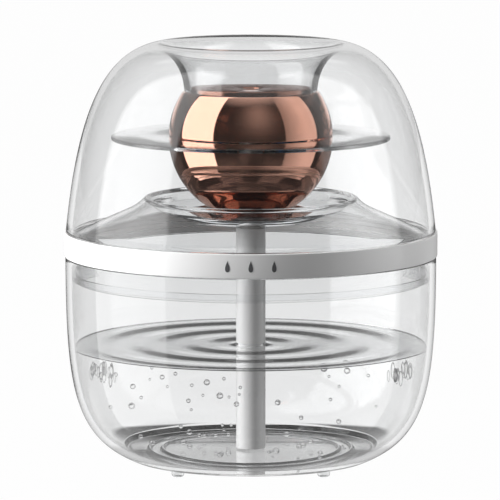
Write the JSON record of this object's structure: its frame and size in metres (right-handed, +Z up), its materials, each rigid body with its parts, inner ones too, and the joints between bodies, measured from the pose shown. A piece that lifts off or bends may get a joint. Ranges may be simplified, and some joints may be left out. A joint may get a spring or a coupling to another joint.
{
  "type": "cool mist humidifier",
  "caption": "Clear barrel-shaped cool mist humidifier: a water tank, a lift-out head with a copper ball, wick tube and disc, and a dome cover with a mist funnel.",
  "frame": {"origin": "centre of the footprint, on the surface that the feet stand on", "axes": "+Z up along the axis of the tank, -Y towards the front with the band's mark, +X to the right of the front view"},
  "size_m": [0.19, 0.19, 0.2166],
  "materials": {
    "clear_tank": "clear polished plastic",
    "clear_dome": "clear polished plastic",
    "clear_partition": "clear polished plastic",
    "clear_disc": "clear polished plastic",
    "clear_silicone": "clear satin silicone",
    "grey_silicone": "matt silicone",
    "white_band": "satin white",
    "white_tube": "semi-gloss white",
    "white_plastic": "moulded white",
    "chrome": "mirror polished",
    "copper": "mirror polished rose copper plating",
    "steel": "brushed",
    "cotton": "twisted cotton",
    "cell_wrap": "shrink wrap",
    "circuit_board": "solder resist",
    "black_plastic": "moulded black"
  },
  "bodies": {
    "tank": {"tank_shell": "clear_tank", "foot_1": "clear_silicone", "foot_2": "clear_silicone", "foot_3": "clear_silicone", "foot_4": "clear_silicone"},
    "head": {"band_ring": "white_band", "partition_bell": "clear_partition", "tank_seal": "clear_silicone", "chrome_dish": "chrome", "ball_gasket": "grey_silicone", "ball_lower_shell": "copper", "ball_upper_shell": "copper", "equator_disc": "clear_disc", "mist_collar": "copper", "tube_socket": "white_plastic", "socket_nut": "steel", "inner_frame": "white_plastic", "wick_guide": "white_plastic", "atomizer_seal": "grey_silicone", "atomizer_disc": "steel", "cotton_wick": "cotton", "battery_cell_1": "cell_wrap", "battery_cell_2": "cell_wrap", "control_board": "circuit_board", "board_screw_1": "steel", "board_screw_2": "steel", "board_screw_3": "steel", "tact_switch": "black_plastic", "charge_inlet": "steel", "charge_board": "circuit_board"},
    "button": {"power_button": "copper"},
    "tube": {"wick_tube": "white_tube", "tube_strainer": "white_plastic", "wick_spring": "steel"},
    "cover": {"dome_cover": "clear_dome"}
  },
  "joints": [
    {"name": "head_lift", "type": "slide", "parent": "tank", "child": "head", "axis": [0, 0, 1], "range_m": [0, 0.125]},
    {"name": "cover_lift", "type": "slide", "parent": "head", "child": "cover", "axis": [0, 0, 1], "range_m": [0, 0.11]},
    {"name": "tube_twist", "type": "hinge", "parent": "head", "child": "tube", "pos_m": [0, 0, 0.1], "axis": [0, 0, 1], "range_deg": [0, 40]},
    {"name": "button_press", "type": "slide", "parent": "head", "child": "button", "axis": [0, 0, -1], "range_m": [0, 0.0008], "stiffness_N_per_m": 400}
  ]
}
